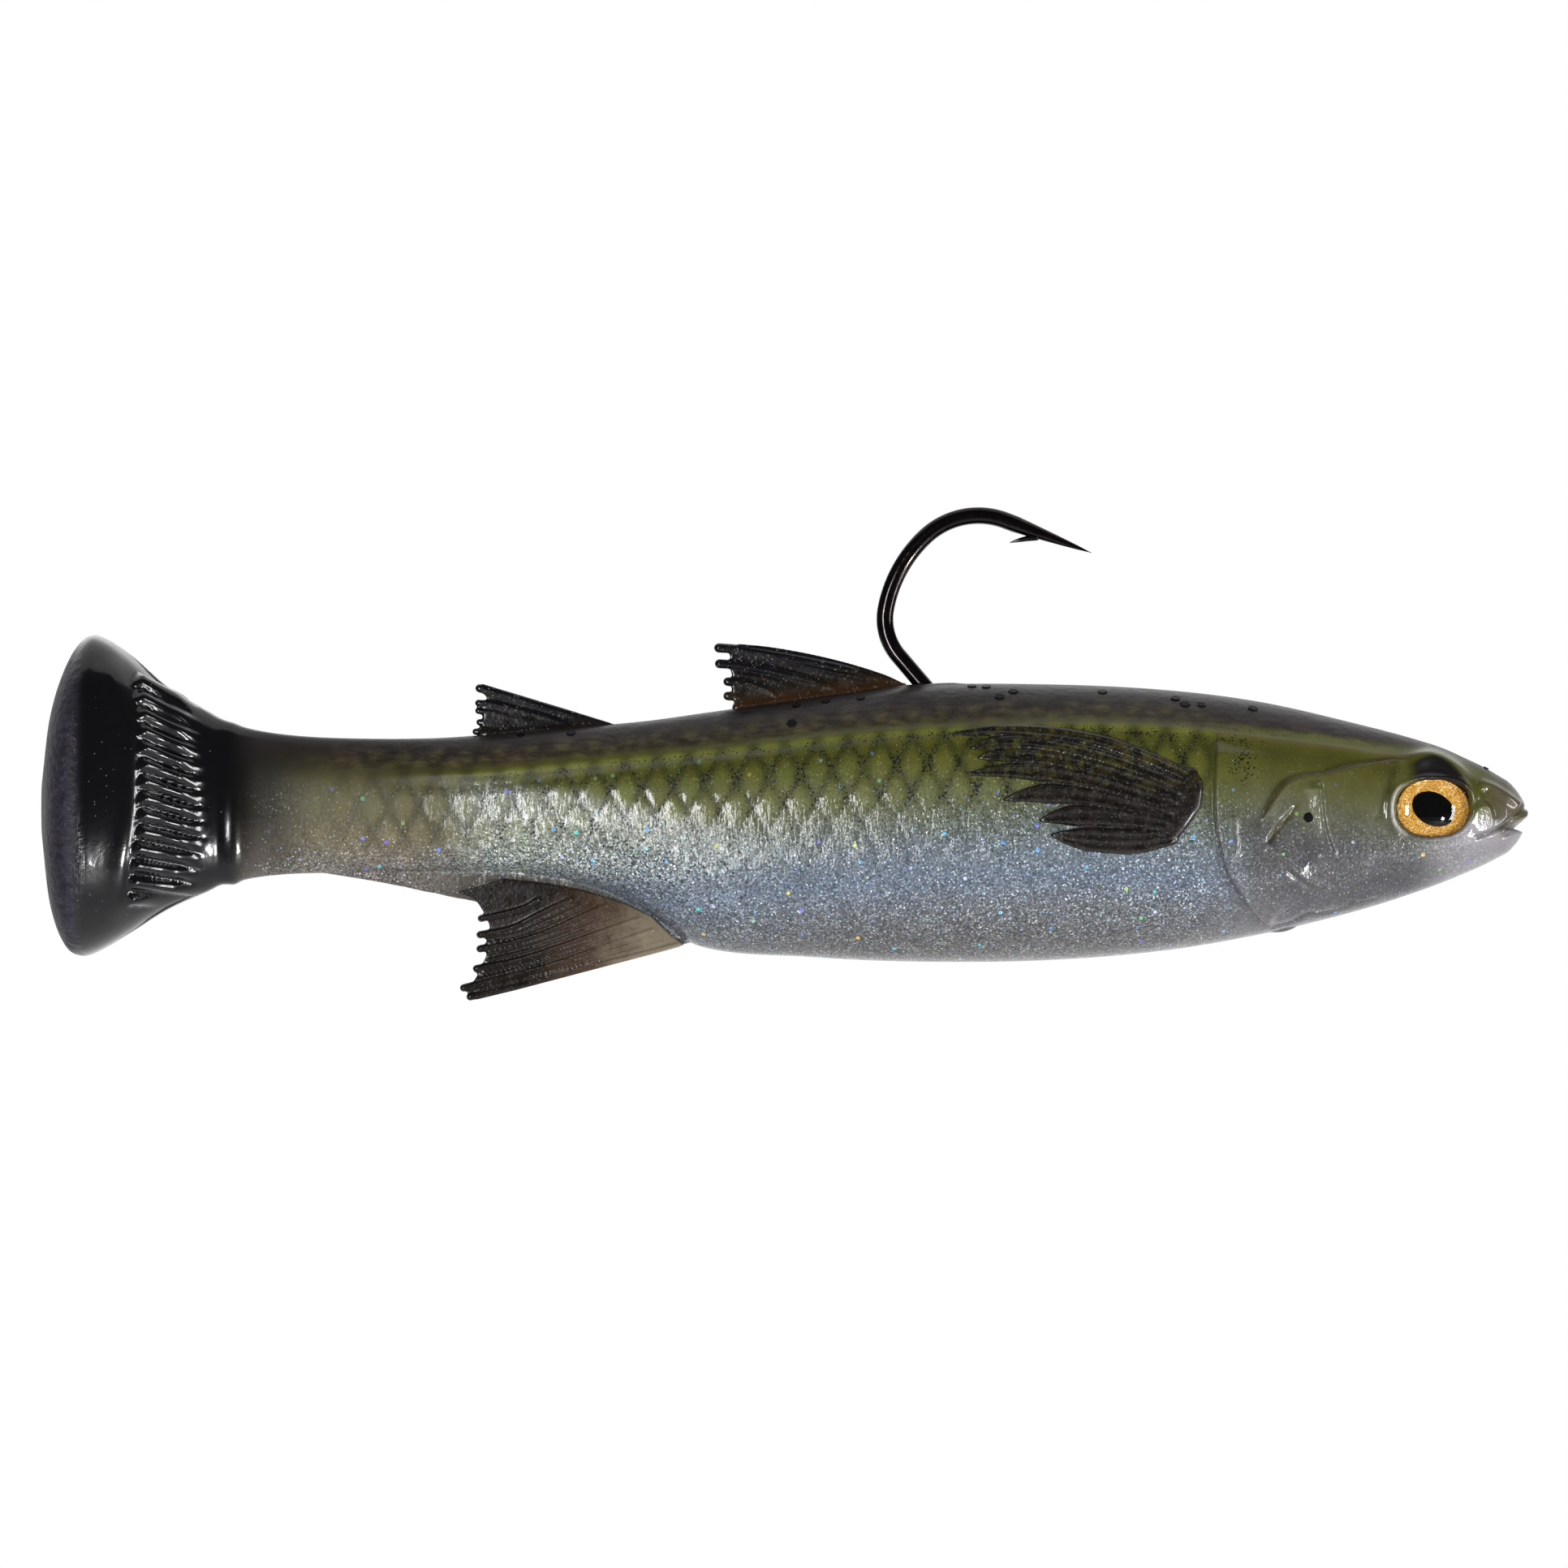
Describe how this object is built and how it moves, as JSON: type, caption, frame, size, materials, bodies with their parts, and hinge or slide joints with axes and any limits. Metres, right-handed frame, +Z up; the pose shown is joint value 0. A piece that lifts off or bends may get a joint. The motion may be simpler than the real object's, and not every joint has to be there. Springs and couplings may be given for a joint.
{
  "type": "swimbait",
  "caption": "Soft line-through swimbait: fish body that flexes at waist, stem and flared tail, top hook seated in a back slot, belly weight and 3D eyes.",
  "frame": {"origin": "centre of the line tube's mouth, in the lure's nose", "axes": "+X out of the mouth along the line tube, +Y to the fish's left, +Z up out of the back"},
  "size_m": [0.127, 0.0182, 0.0422],
  "materials": {
    "soft_body": "glossy translucent soft plastic with glitter",
    "soft_tail": "glossy black soft plastic",
    "soft_fins": "glossy dark soft plastic",
    "tube_plastic": "natural",
    "lead": "dull cast lead",
    "hook_wire": "black nickel",
    "eye_foil": "gold glitter foil",
    "pupil_black": "gloss black",
    "eye_clear": "clear epoxy"
  },
  "bodies": {
    "front": {"front_body": "soft_body", "pectoral_fin_left": "soft_fins", "pectoral_fin_right": "soft_fins", "line_tube": "tube_plastic", "keel_weight": "lead", "eye_foil_left": "eye_foil", "eye_foil_right": "eye_foil", "pupil_left": "pupil_black", "pupil_right": "pupil_black", "eye_dome_left": "eye_clear", "eye_dome_right": "eye_clear"},
    "rear": {"rear_body": "soft_body"},
    "stem": {"tail_stem": "soft_body"},
    "tail": {"tail_paddle": "soft_tail"},
    "front_dorsal": {"front_dorsal_fin": "soft_fins"},
    "rear_dorsal": {"rear_dorsal_fin": "soft_fins"},
    "anal": {"anal_fin": "soft_fins"},
    "hook": {"hook": "hook_wire"}
  },
  "joints": [
    {"name": "waist_flex", "type": "hinge", "parent": "front", "child": "rear", "pos_m": [-0.0693, 0, 0], "axis": [0, 0, 1], "range_deg": [-15, 15], "stiffness_Nm_per_rad": 0.02},
    {"name": "stem_flex", "type": "hinge", "parent": "rear", "child": "stem", "pos_m": [-0.0965, 0, 0], "axis": [0, 0, 1], "range_deg": [-25, 25], "stiffness_Nm_per_rad": 0.01},
    {"name": "tail_flex", "type": "hinge", "parent": "stem", "child": "tail", "pos_m": [-0.1062, 0, 0], "axis": [0, 0, 1], "range_deg": [-35, 35], "stiffness_Nm_per_rad": 0.01},
    {"name": "front_dorsal_flex", "type": "hinge", "parent": "front", "child": "front_dorsal", "pos_m": [-0.0541, 0, 0.01195], "axis": [0.9906, 0, 0.1369], "range_deg": [-20, 20], "stiffness_Nm_per_rad": 0.0005},
    {"name": "rear_dorsal_flex", "type": "hinge", "parent": "rear", "child": "rear_dorsal", "pos_m": [-0.0772, 0, 0.00885], "axis": [0.9972, 0, 0.0744], "range_deg": [-20, 20], "stiffness_Nm_per_rad": 0.0005},
    {"name": "anal_flex", "type": "hinge", "parent": "rear", "child": "anal", "pos_m": [-0.0709, 0, -0.01], "axis": [0.9811, 0, -0.1934], "range_deg": [-20, 20], "stiffness_Nm_per_rad": 0.0005},
    {"name": "hook_pull", "type": "slide", "parent": "front", "child": "hook", "axis": [-0.6494, 0, 0.7604], "range_m": [0, 0.026]}
  ]
}
